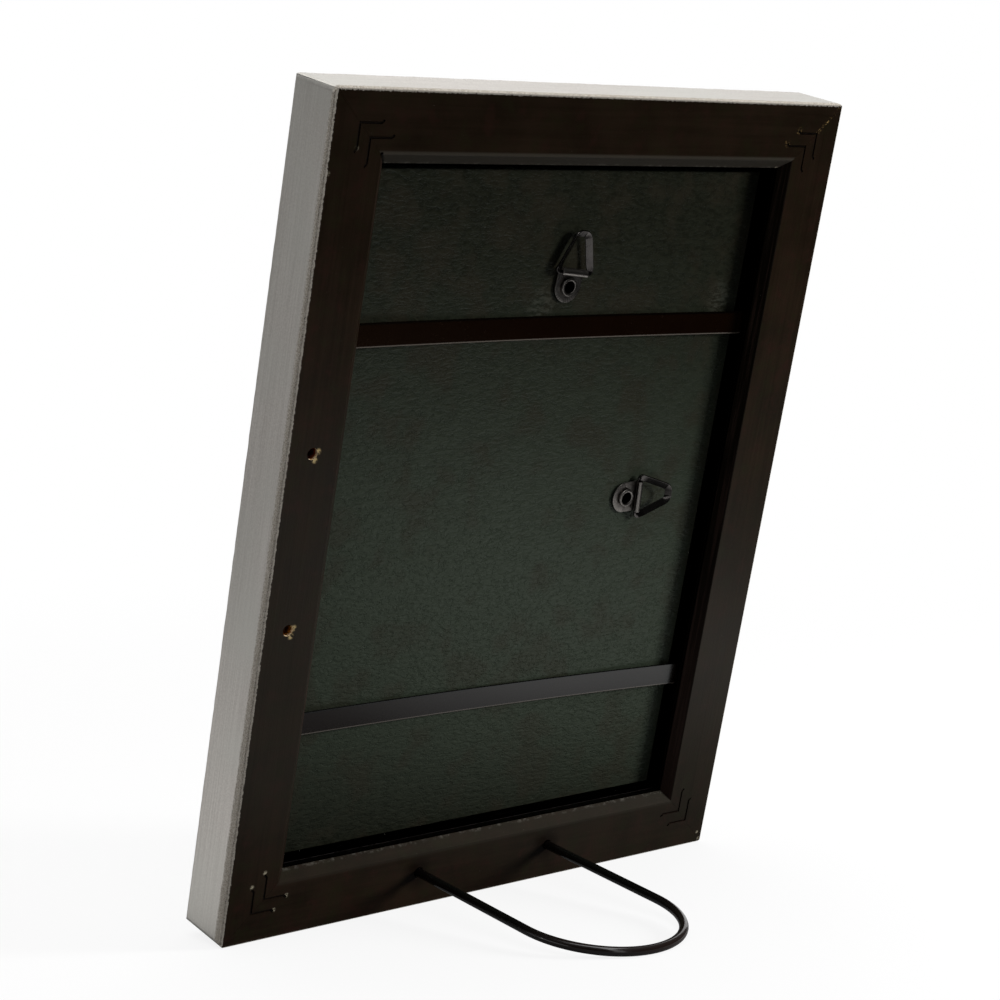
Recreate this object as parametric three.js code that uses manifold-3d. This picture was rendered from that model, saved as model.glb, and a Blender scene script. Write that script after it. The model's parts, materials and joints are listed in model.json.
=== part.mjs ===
// A small picture frame that leans back on a wire stand, with hangers on its backing board.
// Millimetres. X runs to the right of someone who looks at the picture, Y out of the back, Z up.
// The pieces are made upright, with the back face at Y = 0 and the bottom edge at Z = 0,
// and the whole frame is then leaned back until it rests on its rear edge and on the wire.

import * as THREE from 'three';
import { mergeVertices } from 'three/addons/utils/BufferGeometryUtils.js';
import Module from 'manifold-3d';

// The picture, and the layers that lie in the rebate
const pictureWidth = 130;
const pictureHeight = 180;
const glassThickness = 2;
const insertThickness = 0.4;
const boardThickness = 2.5;
const panePlay = 1.5; // from the glass and the insert to the rebate's wall
const boardPlay = 1.3; // from the board to the rebate's wall
const seatGap = 0.3; // between two pieces that rest on each other

// The moulding's section: widths run in from the outer edge, depths run from the back to the front
const wallWidth = 18.5; // outer edge to the rebate's wall
const chamferWidth = 2.8;
const chamferDepth = 2.7;
const quirkWidth = 0.5; // fine kerf under the chamfer
const quirkDepth = 0.5;
const edgeDepth = 1.5; // blunt edge between the quirk and the groove
const grooveWidth = 3; // how far the groove runs into the wall
const grooveDepth = 2.2;
const landDepth = 0.3; // wall between the groove and the board's back
const lipDepth = 4;
const lipReach = 5.5; // how far the lip covers the picture's edge
const sightBevelWidth = 2.4;
const sightBevelDepth = 2.4;
const frontRound = 1.6;
const backRound = 0.6;
const mitreGap = 0.2; // glue line between two mitred ends

// The nails across each mitre: a thin V with its point towards the corner
const nailInsets = { outer: 8.3, inner: 11.8 }; // point of the V, from both outer edges
const nailArm = 6.2;
const nailHook = 1.1;
const nailHookTurn = THREE.MathUtils.degToRad(40);
const nailThickness = 0.3;
const nailHeight = 7;
const nailSink = 0.2; // below the back face
const nailClearance = 0.15;

// The wire stand and its holes
const wireDiameter = 2.5;
const wireSpacing = 45.5; // between the two legs
const wireLeg = 44.5; // straight length outside the frame
const wireLoop = 24.8; // depth of the rounded end
const wireInsertion = 10.5; // straight length inside the frame
const wireTilt = THREE.MathUtils.degToRad(6); // above square to the back
const wireHoleInset = 10; // from the bottom edge
const wireHoleClearance = 0.25;
const spareHoleInset = 7.7; // from the stile's outer edge
const spareHoleShift = 1.4; // below the stile's middle

// The spring strips, bowed onto the board with their ends in the grooves
const stripWidth = 6.3;
const stripThickness = 0.5;
const stripEndPlay = 0.8; // from each end to the bottom of its groove
const upperStripTilt = THREE.MathUtils.degToRad(0.3);
const lowerStripTilt = THREE.MathUtils.degToRad(1.3);
const upperStripGap = 3.4; // between the top hanger's plate and the upper strip
const lowerStripRise = 37; // from the rebate's bottom wall to the lower strip's middle

// The hangers: an eyelet, a plate curled round a bar, and a ring of wire pressed flat away from the bar
const plateDiameter = 8.6; // round end about the eyelet
const sheetThickness = 0.4;
const ringWire = 1.1; // diameter of the bar, and thickness of the flattened band
const ringBand = 2; // width of the flattened band
const ringPlay = 0.2; // between the ring's bar and the curl
const ringBaseWidth = 12.8; // over the outside
const ringTipWidth = 6.8; // over the outside
const ringLength = 10.4; // bar's axis to the tip's middle line
const ringBaseRound = 0.8; // bend of the wire's middle line
const ringTipRound = 1.9; // bend of the wire's middle line
const curlGap = 0.35; // between the curl's end and the plate
const curlEndPlay = 0.25; // between the curl and the bends of the ring
const eyeletFlange = 5; // diameter
const eyeletBarrel = 4; // diameter
const eyeletBore = 3.1; // diameter
const eyeletRoll = 0.6; // thickness of each rolled end
const eyeletClearance = 0.25;
const topHangerShift = -1.95; // from the middle
const topHangerDrop = 32.3; // from the rebate's top wall to the eyelet
const topHangerTurn = THREE.MathUtils.degToRad(-6.3);
const topRingLift = THREE.MathUtils.degToRad(1); // off the board
const sideHangerInset = 30.9; // from the left stile's rebate wall to the eyelet
const sideHangerShift = -0.75; // from the middle
const sideHangerTurn = THREE.MathUtils.degToRad(-86.6);
const sideRingLift = THREE.MathUtils.degToRad(7); // off the board

// How finely round shapes are divided
const arcSteps = 4;
const holeSides = 20;
const wireSides = 12;
const bendSteps = 6;
const loopSteps = 20;
const bowSteps = 10;

// Sizes that follow
const rebateWidth = pictureWidth + 2 * panePlay;
const rebateHeight = pictureHeight + 2 * panePlay;
const frameWidth = rebateWidth + 2 * wallWidth;
const frameHeight = rebateHeight + 2 * wallWidth;
const quirkEnd = chamferDepth + quirkDepth;
const grooveTop = quirkEnd + edgeDepth;
const boardTop = grooveTop + grooveDepth + landDepth;
const insertTop = boardTop + boardThickness + seatGap;
const glassTop = insertTop + insertThickness + seatGap;
const lipTop = glassTop + glassThickness + seatGap;
const frameDepth = lipTop + lipDepth;
const wireReach = wireLeg + wireLoop;
const curlRadius = ringWire / 2 + ringPlay + sheetThickness;
const barHeight = seatGap + curlRadius; // ring's bar above the board
const barDistance = eyeletFlange / 2 + eyeletClearance + curlRadius; // ring's bar from the eyelet
const curlWidth = ringBaseWidth - ringBand - 2 * ringBaseRound - 2 * curlEndPlay;
const eyeletHole = eyeletBarrel + 2 * eyeletClearance; // diameter

const wasm = await Module();
wasm.setup();

// Turns a closed geometry into a solid that can be cut.
function solidOf(geometry) {
  const bare = geometry.clone();
  bare.deleteAttribute('normal');
  bare.deleteAttribute('uv');
  const merged = mergeVertices(bare, 1e-5);
  const vertProperties = new Float32Array(merged.attributes.position.array);
  const triVerts = new Uint32Array(merged.index.array);
  return new wasm.Manifold(new wasm.Mesh({ numProp: 3, vertProperties, triVerts }));
}

// Turns a solid back into a geometry.
function geometryOf(solid) {
  const mesh = solid.getMesh();
  const geometry = new THREE.BufferGeometry();
  geometry.setAttribute('position', new THREE.Float32BufferAttribute(mesh.vertProperties, 3));
  geometry.setIndex(new THREE.Uint32BufferAttribute(mesh.triVerts, 1));
  geometry.computeVertexNormals();
  return geometry;
}

// Takes each of the tools away from a geometry.
function cut(geometry, tools) {
  let solid = solidOf(geometry);
  for (const tool of tools) {
    solid = solid.subtract(solidOf(tool));
  }
  return geometryOf(solid);
}

// A flat outline in X and Y, raised by a height along Z.
function prism(points, height) {
  return new THREE.ExtrudeGeometry(new THREE.Shape(points), { depth: height, bevelEnabled: false });
}

// An outline in plan, X and Z, that reaches from the height top down by a depth.
function planPrism(points, top, depth) {
  return prism(points, depth).rotateX(Math.PI / 2).translate(0, top, 0);
}

// A round tool about the Y axis whose flats touch the radius, from the height low to the height high.
function roundTool(radius, low, high) {
  const corner = radius / Math.cos(Math.PI / holeSides);
  const tool = new THREE.CylinderGeometry(corner, corner, high - low, holeSides);
  return tool.translate(0, (low + high) / 2, 0);
}

// The outline of a strip of sheet whose middle line runs through the points.
function sheetOutline(line, thickness) {
  const normals = line.slice(1).map((point, i) => {
    const along = point.clone().sub(line[i]).normalize();
    return new THREE.Vector2(-along.y, along.x);
  });
  const offset = (side) => line.map((point, i) => {
    const before = normals[Math.max(i - 1, 0)];
    const after = normals[Math.min(i, normals.length - 1)];
    const bisector = before.clone().add(after).normalize();
    return point.clone().addScaledVector(bisector, side * thickness / 2 / bisector.dot(after));
  });
  return [...offset(-1), ...offset(1).reverse()];
}

// A wire bent along points in the XY plane, closed on itself or with flat ends.
// Its width in that plane is a function of the place, and its thickness across the plane is even.
function bentWire(line, widthAt, thickness, closed) {
  const last = line.length - 1;
  const at = (i) => line[closed ? (i + line.length) % line.length : Math.min(Math.max(i, 0), last)];
  const positions = [];
  line.forEach((point, i) => {
    const along = at(i + 1).clone().sub(at(i - 1)).normalize();
    for (let k = 0; k < wireSides; k += 1) {
      const turn = 2 * Math.PI * (k + 0.5) / wireSides;
      const across = Math.cos(turn) * widthAt(point) / 2;
      const up = Math.sin(turn) * thickness / 2;
      positions.push(point.x - along.y * across, point.y + along.x * across, up);
    }
  });
  const index = [];
  const spans = closed ? line.length : last;
  for (let i = 0; i < spans; i += 1) {
    const here = i * wireSides;
    const next = ((i + 1) % line.length) * wireSides;
    for (let k = 0; k < wireSides; k += 1) {
      const side = (k + 1) % wireSides;
      index.push(here + k, here + side, next + side, here + k, next + side, next + k);
    }
  }
  if (!closed) {
    for (let k = 1; k < wireSides - 1; k += 1) {
      index.push(0, k + 1, k);
      index.push(last * wireSides, last * wireSides + k, last * wireSides + k + 1);
    }
  }
  const geometry = new THREE.BufferGeometry();
  geometry.setAttribute('position', new THREE.Float32BufferAttribute(positions, 3));
  geometry.setIndex(index);
  geometry.computeVertexNormals();
  return geometry;
}

// The line of a belt drawn tight round circles that are listed anticlockwise.
function beltLine(circles) {
  const count = circles.length;
  const tangents = circles.map((circle, i) => {
    const next = circles[(i + 1) % count];
    const along = Math.atan2(next.y - circle.y, next.x - circle.x);
    const apart = Math.hypot(next.x - circle.x, next.y - circle.y);
    return along - Math.acos((circle.radius - next.radius) / apart);
  });
  return circles.flatMap((circle, i) => {
    const start = tangents[(i + count - 1) % count];
    const end = tangents[i];
    const turn = THREE.MathUtils.euclideanModulo(end - start, 2 * Math.PI);
    return Array.from({ length: bendSteps + 1 }, (_, k) => {
      const angle = start + turn * k / bendSteps;
      return new THREE.Vector2(
        circle.x + circle.radius * Math.cos(angle),
        circle.y + circle.radius * Math.sin(angle),
      );
    });
  });
}

// Points on an arc, both ends included.
function arcPoints(x, y, radius, start, end, steps) {
  return Array.from({ length: steps + 1 }, (_, k) => {
    const angle = start + (end - start) * k / steps;
    return new THREE.Vector2(x + radius * Math.cos(angle), y + radius * Math.sin(angle));
  });
}

function piece(name, geometry, material) {
  const mesh = new THREE.Mesh(geometry, material);
  mesh.name = name;
  return mesh;
}

const finishes = {
  moulding: () => new THREE.MeshStandardMaterial({ color: 0x8f8a84, roughness: 0.55, metalness: 0.2 }),
  nail: () => new THREE.MeshStandardMaterial({ color: 0x1c1815, roughness: 0.5, metalness: 0.7 }),
  board: () => new THREE.MeshStandardMaterial({ color: 0x202a25, roughness: 0.8, metalness: 0 }),
  glass: () => new THREE.MeshStandardMaterial({ color: 0xe8f0ee, roughness: 0.05, metalness: 0 }),
  paper: () => new THREE.MeshStandardMaterial({ color: 0xf2efe8, roughness: 0.9, metalness: 0 }),
  strip: () => new THREE.MeshStandardMaterial({ color: 0x1d1917, roughness: 0.4, metalness: 0.6 }),
  hanger: () => new THREE.MeshStandardMaterial({ color: 0x33312f, roughness: 0.35, metalness: 0.9 }),
  wire: () => new THREE.MeshStandardMaterial({ color: 0x0d0d0d, roughness: 0.3, metalness: 0.5 }),
};

// Moulding

// The section of the moulding: X runs in from the outer edge, Y out of the back.
function mouldingSection() {
  const at = (width, depth) => new THREE.Vector2(width, -depth);
  const grooveEnd = grooveTop + grooveDepth;
  const sight = wallWidth + lipReach;
  return [
    at(wallWidth - chamferWidth, 0),
    at(wallWidth, chamferDepth),
    at(wallWidth - quirkWidth, chamferDepth),
    at(wallWidth - quirkWidth, quirkEnd),
    at(wallWidth, quirkEnd),
    at(wallWidth, grooveTop),
    at(wallWidth - grooveWidth, grooveTop),
    at(wallWidth - grooveWidth, grooveEnd),
    at(wallWidth, grooveEnd),
    at(wallWidth, lipTop),
    at(sight, lipTop),
    at(sight, frameDepth - sightBevelDepth),
    at(sight - sightBevelWidth, frameDepth),
    ...arcPoints(frontRound, frontRound - frameDepth, frontRound, -Math.PI / 2, -Math.PI, arcSteps),
    ...arcPoints(backRound, -backRound, backRound, Math.PI, Math.PI / 2, arcSteps),
  ];
}

// A length of moulding along Z with both ends mitred, so that wider in means shorter.
function mitredMoulding(length) {
  const geometry = prism(mouldingSection(), length);
  const places = geometry.attributes.position;
  for (let i = 0; i < places.count; i += 1) {
    const cutBack = places.getX(i) + mitreGap / 2 * Math.SQRT2;
    places.setZ(i, places.getZ(i) > length / 2 ? length - cutBack : cutBack);
  }
  return geometry;
}

// The middle line of a nail in plan, in distances from the two outer edges of a corner.
// Each arm ends in a short hook that turns towards the outer edge.
function nailLine(inset, reach) {
  const arm = inset + nailArm;
  const hookAlong = arm + (nailHook + reach) * Math.cos(nailHookTurn);
  const hookOut = inset - (nailHook + reach) * Math.sin(nailHookTurn);
  return [
    new THREE.Vector2(hookOut, hookAlong),
    new THREE.Vector2(inset, arm),
    new THREE.Vector2(inset, inset),
    new THREE.Vector2(arm, inset),
    new THREE.Vector2(hookAlong, hookOut),
  ];
}

function nailGeometry(inset) {
  return planPrism(sheetOutline(nailLine(inset, 0), nailThickness), -nailSink, nailHeight);
}

// The slot for a nail, open at the back face.
function nailSlot(inset) {
  const outline = sheetOutline(nailLine(inset, nailClearance), nailThickness + 2 * nailClearance);
  return planPrism(outline, seatGap, seatGap + nailSink + nailHeight + nailClearance);
}

// A pair of holes for the wire, tilted as the wire is.
function wireHoles(inset, middle) {
  const depth = wireInsertion + seatGap;
  return [-1, 1].map((side) => roundTool(wireDiameter / 2 + wireHoleClearance, -depth, wireDiameter)
    .rotateZ(-wireTilt)
    .translate(inset, 0, middle + side * wireSpacing / 2));
}

// One side of the frame, with the two nails of the corner where it starts.
// X runs in from the side's outer edge, Y out of the back, Z along the side from that corner.
function makeSide(name, corner, length, holes) {
  const side = new THREE.Group();
  const insets = Object.entries(nailInsets);
  const startSlots = insets.map(([, inset]) => nailSlot(inset));
  const endSlots = insets.map(([, inset]) => nailSlot(inset).rotateY(Math.PI / 2).translate(0, 0, length));
  const rail = cut(mitredMoulding(length), [...startSlots, ...endSlots, ...holes]);
  side.add(piece(name, rail, finishes.moulding()));
  for (const [place, inset] of insets) {
    side.add(piece(`v_nail_${corner}_${place}`, nailGeometry(inset), finishes.nail()));
  }
  return side;
}

// The four sides, each a quarter turn on from the one before.
function makeMoulding() {
  const spareHoles = wireHoles(spareHoleInset, frameHeight / 2 + spareHoleShift);
  const standHoles = wireHoles(wireHoleInset, frameWidth / 2);
  const sides = [
    makeSide('stile_left', 'bottom_left', frameHeight, []),
    makeSide('rail_top', 'top_left', frameWidth, []),
    makeSide('stile_right', 'top_right', frameHeight, spareHoles),
    makeSide('rail_bottom', 'bottom_right', frameWidth, standHoles),
  ];
  const starts = [[-1, 0], [-1, 1], [1, 1], [1, 0]];
  const moulding = new THREE.Group();
  sides.forEach((side, turn) => {
    const [across, up] = starts[turn];
    side.position.set(across * frameWidth / 2, 0, up * frameHeight);
    side.rotation.y = turn * Math.PI / 2;
    moulding.add(side);
  });
  return moulding;
}

// Glass, insert and board

function makePane(name, top, thickness, material) {
  const pane = piece(name, new THREE.BoxGeometry(pictureWidth, thickness, pictureHeight), material);
  pane.position.set(0, -top - thickness / 2, frameHeight / 2);
  return pane;
}

// Where the hangers' eyelets go through the board, from the middle of the frame.
const hangerPlaces = {
  top: {
    x: topHangerShift,
    z: rebateHeight / 2 - topHangerDrop,
    turn: topHangerTurn,
    lift: topRingLift,
  },
  side: {
    x: sideHangerInset - rebateWidth / 2,
    z: sideHangerShift,
    turn: sideHangerTurn,
    lift: sideRingLift,
  },
};

// The board, with a hole for each eyelet and a wider sinking on its front for the eyelet's end.
function makeBoard() {
  const width = rebateWidth - 2 * boardPlay;
  const height = rebateHeight - 2 * boardPlay;
  const blank = new THREE.BoxGeometry(width, boardThickness, height).translate(0, -boardThickness / 2, 0);
  const sinking = eyeletRoll + seatGap;
  const tools = Object.values(hangerPlaces).flatMap(({ x, z }) => [
    roundTool(eyeletHole / 2, -boardThickness - seatGap, seatGap).translate(x, 0, z),
    roundTool(eyeletFlange / 2 + eyeletClearance, -boardThickness - seatGap, sinking - boardThickness)
      .translate(x, 0, z),
  ]);
  const board = piece('backing_board', cut(blank, tools), finishes.board());
  board.position.set(0, -boardTop, frameHeight / 2);
  return board;
}

// Spring strips

// A strip in the shape of a shallow bow: its middle lies on the board, its ends in the grooves.
function makeStrip(name, height, tilt) {
  const half = rebateWidth / 2 + grooveWidth - stripEndPlay;
  const low = seatGap - boardTop;
  const high = -grooveTop - seatGap - stripThickness;
  const rise = high - low;
  const radius = (half * half + rise * rise) / (2 * rise);
  const spread = Math.asin(half / radius);
  const centre = low + radius;
  const down = -Math.PI / 2;
  const outline = [
    ...arcPoints(0, centre, radius, down - spread, down + spread, 2 * bowSteps),
    ...arcPoints(0, centre, radius - stripThickness, down + spread, down - spread, 2 * bowSteps),
  ];
  const strip = piece(name, prism(outline, stripWidth).translate(0, 0, -stripWidth / 2), finishes.strip());
  strip.position.z = height;
  strip.rotation.y = -tilt;
  return strip;
}

// Hangers

// The hollow rivet: a rolled flange over the plate, a barrel, and a rolled end under the board.
// Heights are above the board's back face.
function eyeletGeometry() {
  const bore = eyeletBore / 2;
  const barrel = eyeletBarrel / 2;
  const flange = eyeletFlange / 2;
  const under = seatGap + sheetThickness + seatGap;
  const end = eyeletRoll - boardThickness;
  const roll = eyeletRoll / 2;
  const profile = [
    new THREE.Vector2(bore, end - eyeletRoll),
    ...arcPoints(flange - roll, end - roll, roll, -Math.PI / 2, Math.PI / 2, arcSteps),
    new THREE.Vector2(barrel, end),
    new THREE.Vector2(barrel, under),
    ...arcPoints(flange - roll, under + roll, roll, -Math.PI / 2, Math.PI / 2, arcSteps),
    new THREE.Vector2(bore + roll, under + eyeletRoll),
    new THREE.Vector2(bore, under + roll),
    new THREE.Vector2(bore, end - eyeletRoll),
  ];
  return new THREE.LatheGeometry(profile, holeSides);
}

// The plate: sheet that lies on the board, curled round the ring's bar. Z runs from the eyelet to the bar.
function plateGeometry() {
  const middle = seatGap + sheetThickness / 2;
  const bend = curlRadius - sheetThickness / 2;
  const curlEnd = 1.5 * Math.PI - (sheetThickness + curlGap) / bend;
  const line = [
    new THREE.Vector2(-plateDiameter, middle),
    ...arcPoints(barDistance, barHeight, bend, -Math.PI / 2, curlEnd - Math.PI / 2, 3 * arcSteps),
  ];
  const width = Math.max(plateDiameter, curlWidth);
  const sheet = prism(sheetOutline(line, sheetThickness), width)
    .translate(0, 0, -width / 2)
    .rotateY(-Math.PI / 2);
  const round = plateDiameter / 2;
  const neck = Math.asin(Math.min(curlWidth / plateDiameter, 1));
  const far = barDistance + curlRadius + seatGap;
  const plan = [
    ...arcPoints(0, 0, round, Math.PI / 2 + neck, 2.5 * Math.PI - neck, 6 * arcSteps),
    new THREE.Vector2(curlWidth / 2, far),
    new THREE.Vector2(-curlWidth / 2, far),
  ];
  const reach = barHeight + curlRadius + seatGap;
  const trimmed = solidOf(sheet).intersect(solidOf(planPrism(plan, reach, reach)));
  return geometryOf(trimmed.subtract(solidOf(roundTool(eyeletHole / 2, 0, reach))));
}

// The ring, in the XY plane: its bar lies on X, its tip is out along Y.
function ringGeometry() {
  const base = (ringBaseWidth - ringBand) / 2 - ringBaseRound;
  const tip = (ringTipWidth - ringBand) / 2 - ringTipRound;
  const circles = [
    { x: -base, y: ringBaseRound, radius: ringBaseRound },
    { x: base, y: ringBaseRound, radius: ringBaseRound },
    { x: tip, y: ringLength - ringTipRound, radius: ringTipRound },
    { x: -tip, y: ringLength - ringTipRound, radius: ringTipRound },
  ];
  const flattening = (point) => THREE.MathUtils.smoothstep(point.y, 0, 2 * ringBaseRound);
  const widthAt = (point) => THREE.MathUtils.lerp(ringWire, ringBand, flattening(point));
  return bentWire(beltLine(circles), widthAt, ringWire, true);
}

// One hanger on the board: Y stands out of the board, Z runs from the eyelet towards the ring.
function makeHanger(name, { x, z, turn, lift }) {
  const hanger = new THREE.Group();
  hanger.position.set(x, -boardTop, frameHeight / 2 + z);
  hanger.rotation.y = turn;
  hanger.add(piece(`eyelet_${name}`, eyeletGeometry(), finishes.hanger()));
  hanger.add(piece(`hanger_strap_${name}`, plateGeometry(), finishes.hanger()));
  const ring = piece(`hanger_ring_${name}`, ringGeometry(), finishes.hanger());
  ring.position.set(0, barHeight, barDistance);
  ring.rotation.x = Math.PI / 2 - lift;
  hanger.add(ring);
  return hanger;
}

// Wire stand

// The wire, in a plane that is tilted a little up from square to the back.
function makeWireStand() {
  const half = wireSpacing / 2;
  const loop = Array.from({ length: loopSteps + 1 }, (_, k) => {
    const angle = Math.PI * (1 - k / loopSteps);
    return new THREE.Vector2(half * Math.cos(angle), wireLeg + wireLoop * Math.sin(angle));
  });
  const line = [new THREE.Vector2(-half, -wireInsertion), ...loop, new THREE.Vector2(half, -wireInsertion)];
  const stand = piece('wire_stand', bentWire(line, () => wireDiameter, wireDiameter, false), finishes.wire());
  stand.position.z = wireHoleInset;
  stand.rotation.x = wireTilt;
  return stand;
}

// How far the frame leans back when its rear edge and the loop of the wire are on the table.
function leanAngle() {
  const out = wireReach * Math.cos(wireTilt);
  const up = wireHoleInset + wireReach * Math.sin(wireTilt);
  return Math.atan2(up, out) - Math.asin(wireDiameter / 2 / Math.hypot(out, up));
}

const upperStripHeight = hangerPlaces.top.z - plateDiameter / 2 - upperStripGap - stripWidth / 2;

const frame = new THREE.Group();
frame.add(makeMoulding());
frame.add(makePane('glass_pane', glassTop, glassThickness, finishes.glass()));
frame.add(makePane('picture_insert', insertTop, insertThickness, finishes.paper()));
frame.add(makeBoard());
frame.add(makeStrip('spring_strip_upper', frameHeight / 2 + upperStripHeight, upperStripTilt));
frame.add(makeStrip('spring_strip_lower', wallWidth + lowerStripRise, lowerStripTilt));
frame.add(makeHanger('top', hangerPlaces.top));
frame.add(makeHanger('side', hangerPlaces.side));
frame.add(makeWireStand());

// The leaning frame stands on Z = 0 with the middle of its footprint at the origin.
frame.rotation.x = -leanAngle();
const pictureFrame = new THREE.Group();
pictureFrame.add(frame);
pictureFrame.updateMatrixWorld(true);
const extent = new THREE.Box3().setFromObject(pictureFrame, true);
frame.position.set(0, -(extent.min.y + extent.max.y) / 2, -extent.min.z);

export default pictureFrame;
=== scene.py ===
# %% [markdown]
# A small picture frame, seen from behind
#
# The frame is four mitred lengths of silvered moulding, painted dark behind. Spring strips hold its
# board, two ring hangers are riveted to the board, and the whole thing leans back on a bent wire.
# The solids are already there at their true size, so this lesson only gives them their looks.
# Pieces whose solids are plain enough keep them. The others are modelled again with softer edges.

import json
from math import asin, cos, pi, radians, sin, tan

import bmesh
import bpy
from mathutils import Color, Matrix, Quaternion, Vector

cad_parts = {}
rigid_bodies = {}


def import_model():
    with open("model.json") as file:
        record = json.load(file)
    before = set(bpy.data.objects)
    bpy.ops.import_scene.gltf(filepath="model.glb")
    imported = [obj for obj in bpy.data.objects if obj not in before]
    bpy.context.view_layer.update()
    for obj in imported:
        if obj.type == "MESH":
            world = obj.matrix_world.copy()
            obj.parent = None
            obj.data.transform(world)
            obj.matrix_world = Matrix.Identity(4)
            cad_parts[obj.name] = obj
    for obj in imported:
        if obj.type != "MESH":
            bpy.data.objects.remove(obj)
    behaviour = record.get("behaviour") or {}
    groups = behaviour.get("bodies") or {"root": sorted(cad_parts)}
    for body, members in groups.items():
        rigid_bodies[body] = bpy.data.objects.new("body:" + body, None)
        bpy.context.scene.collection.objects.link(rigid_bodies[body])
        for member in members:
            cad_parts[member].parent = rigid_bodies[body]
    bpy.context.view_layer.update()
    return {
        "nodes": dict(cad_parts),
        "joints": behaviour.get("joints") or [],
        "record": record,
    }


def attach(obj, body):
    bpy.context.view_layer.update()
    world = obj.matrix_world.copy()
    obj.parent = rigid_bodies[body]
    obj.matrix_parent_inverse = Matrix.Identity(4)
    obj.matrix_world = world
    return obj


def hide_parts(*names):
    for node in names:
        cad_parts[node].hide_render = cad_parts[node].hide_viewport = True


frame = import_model()

# %% [markdown]
# Upright axes
#
# A leaning thing is awkward to model. On the bench the frame would lie square in front of us, so
# every piece is made upright and leaned back at the end. The hangers swivel about an axis that is
# square to the back, the strips slide up and down, and two flat faces give the corner to start from:
# the back of the top rail and the underside of the bottom rail.

# %% Axes of the upright frame: out of the back, and up
mm = 0.001
joints = {joint["name"]: joint for joint in frame["joints"]}
mounts = {mount["name"]: mount for mount in frame["record"]["mounts"]}
out_axis = Vector(joints["top_strap_swivel"]["axis"])
up_axis = Vector(joints["upper_strip_slide"]["axis"])
back_height = Vector(mounts["wall_face"]["pos_m"]).dot(out_axis)
bottom_height = Vector(mounts["bottom_face"]["pos_m"]).dot(up_axis)
corner = out_axis * back_height + up_axis * bottom_height
lean_angle = asin(-out_axis.z)
lean = Matrix.Translation(corner) @ Matrix.Rotation(-lean_angle, 4, "X")
print("lean", round(lean_angle * 180 / pi, 2), "degrees, bottom edge at", [round(x, 4) for x in corner])


def measure(node):
    """Lowest and highest corner of a solid on the upright frame, in metres."""
    points = [lean.inverted() @ vertex.co for vertex in frame["nodes"][node].data.vertices]
    low = Vector(min(point[axis] for point in points) for axis in range(3))
    high = Vector(max(point[axis] for point in points) for axis in range(3))
    return low, high


# %% [markdown]
# Camera
#
# The photograph looks down a little on the back, from the side of the upright with the two spare
# holes. A long lens from two thirds of a metre gives the same slight narrowing towards the top.

# %% Camera at the photograph's place
camera_place = Vector((0.4322, 0.49108, 0.1938))
camera_aim = Vector((0.00982, -0.0086, 0.11071))
camera_roll = radians(0.45)
camera_lens = 91.28
camera_sensor = 36
bpy.ops.object.select_all(action="DESELECT")
bpy.ops.object.camera_add(location=camera_place)
camera = bpy.context.object
camera.data.lens = camera_lens
camera.data.sensor_width = camera_sensor
towards = (camera_aim - camera_place).to_track_quat("-Z", "Y")
camera.rotation_euler = (towards @ Quaternion((0, 0, 1), camera_roll)).to_euler()
bpy.context.scene.camera = camera
bpy.context.scene.view_settings.view_transform = "Standard"
print("camera", round((camera_aim - camera_place).length, 3), "m away")

# %% [markdown]
# Sums on shader values
#
# A finish is mostly sums: how far a point is from an edge, times how rough the paint is there. Nodes
# for that can be placed by hand, but they soon fill the screen. Here one small class wraps a socket,
# so that a sum written in Python adds its Math nodes, and one method adds every other kind of node.

# %% A value that can be added and multiplied, and the tree that it grows in
class Value:
    """One socket of a node tree."""

    def __init__(self, tree, socket):
        self.tree = tree
        self.socket = socket

    def other(self, output):
        return Value(self.tree, self.socket.node.outputs[output])

    def maths(self, operation, first, second=0.0):
        return self.tree.node("Math", {"operation": operation}, {0: first, 1: second})

    def __add__(self, number):
        return self.maths("ADD", self, number)

    def __sub__(self, number):
        return self.maths("SUBTRACT", self, number)

    def __rsub__(self, number):
        return self.maths("SUBTRACT", number, self)

    def __mul__(self, number):
        return self.maths("MULTIPLY", self, number)

    def __abs__(self):
        return self.maths("ABSOLUTE", self)

    def most(self, number):
        return self.maths("MAXIMUM", self, number)

    __radd__ = __add__
    __rmul__ = __mul__


class Tree:
    """The nodes of one finish, of the floor or of the world."""

    def __init__(self, owner):
        owner.use_nodes = True
        self.nodes = owner.node_tree.nodes
        self.links = owner.node_tree.links

    def feed(self, socket, value):
        if isinstance(value, Value):
            self.links.new(value.socket, socket)
        else:
            socket.default_value = value

    def node(self, kind, settings=None, sockets=None, output=0):
        made = self.nodes.new("ShaderNode" + kind)
        for name, setting in (settings or {}).items():
            setattr(made, name, setting)
        for name, value in (sockets or {}).items():
            self.feed(made.inputs[name], value)
        return Value(self, made.outputs[output])

    def fade(self, value, start, end):
        """0 up to start, 1 from end on, and a soft change between them."""
        sockets = {"Value": value, "From Min": start, "From Max": end}
        return self.node("MapRange", {"interpolation_type": "SMOOTHSTEP"}, sockets)

    def distance(self, place, point):
        return self.node("VectorMath", {"operation": "DISTANCE"}, {0: place, 1: point}, 1)

    def blend(self, share, first, second):
        """The first colour, giving way to the second as share goes to 1."""
        return self.node("Mix", {"data_type": "RGBA"}, {0: share, 6: first, 7: second}, 2)


def grey(shade):
    return (shade, shade, shade, 1)


print("shader sums ready")

# %% [markdown]
# Floor, lamps and world
#
# The frame stands on a plain white sweep. Near the frame the floor is matt, so that it keeps the
# shadow and throws light back onto the underside. Further off it fades into the white of the world,
# so that no horizon shows. What the camera sees is white, while the light that really falls on the
# frame is softer. For mirrored rays the floor is painted dark close to the frame, as its shadow, and
# bright in a few places further out. Two patches of floor are mirrored by the hangers' rings. One is
# set brighter and one darker, for mirrored rays alone.

# %% World: white to look at, softer as a light
world_light = 0.06
world = bpy.data.worlds.new("studio")
bpy.context.scene.world = world


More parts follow.
